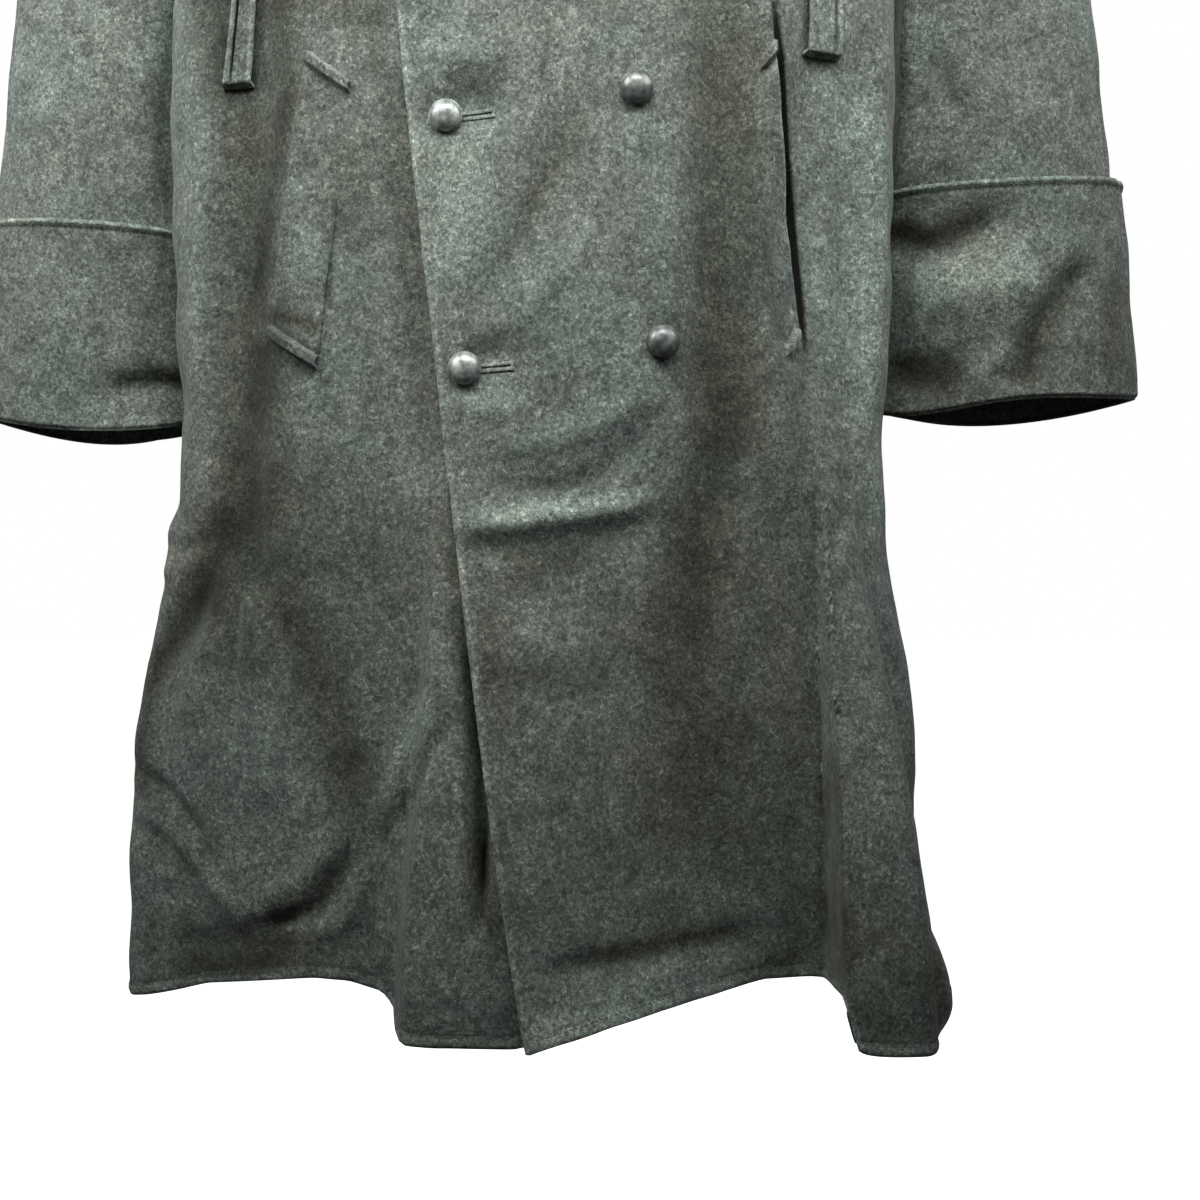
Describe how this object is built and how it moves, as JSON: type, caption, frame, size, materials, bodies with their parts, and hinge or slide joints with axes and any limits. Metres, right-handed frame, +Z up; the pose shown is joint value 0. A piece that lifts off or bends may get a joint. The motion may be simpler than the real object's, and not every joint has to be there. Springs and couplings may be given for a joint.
{
  "type": "double-breasted wool overcoat",
  "caption": "Long double-breasted wool overcoat with turned-back cuffs, slanted welt pockets, belt loops and domed buttons, hanging filled out and hollow as if worn.",
  "frame": {"origin": "midway between the shoulder seams inside the coat, at the level where a wearer's shoulders carry it", "axes": "+X towards the wearer's left, -Y towards the front, +Z up along the hanging coat"},
  "size_m": [0.8669, 0.3108, 1.1302],
  "materials": {
    "field_grey_wool": "milled wool, matt",
    "painted_button": "satin paint"
  },
  "bodies": {
    "root": {"back_left": "field_grey_wool", "back_right": "field_grey_wool", "back_yoke_left": "field_grey_wool", "back_yoke_right": "field_grey_wool", "belt_loop_left": "field_grey_wool", "belt_loop_right": "field_grey_wool", "button_edge_high": "painted_button", "button_edge_low": "painted_button", "button_edge_mid": "painted_button", "button_side_high": "painted_button", "button_side_low": "painted_button", "button_side_mid": "painted_button", "collar": "field_grey_wool", "cuff_top_left": "field_grey_wool", "cuff_top_right": "field_grey_wool", "cuff_under_left": "field_grey_wool", "cuff_under_right": "field_grey_wool", "forearm_top_left": "field_grey_wool", "forearm_top_right": "field_grey_wool", "forearm_under_left": "field_grey_wool", "forearm_under_right": "field_grey_wool", "lapel_left": "field_grey_wool", "lapel_right": "field_grey_wool", "left_chest": "field_grey_wool", "left_front": "field_grey_wool", "pocket_welt_left": "field_grey_wool", "pocket_welt_right": "field_grey_wool", "right_chest": "field_grey_wool", "right_front": "field_grey_wool", "sleeve_top_left": "field_grey_wool", "sleeve_top_right": "field_grey_wool", "sleeve_under_left": "field_grey_wool", "sleeve_under_right": "field_grey_wool"}
  },
  "joints": []
}
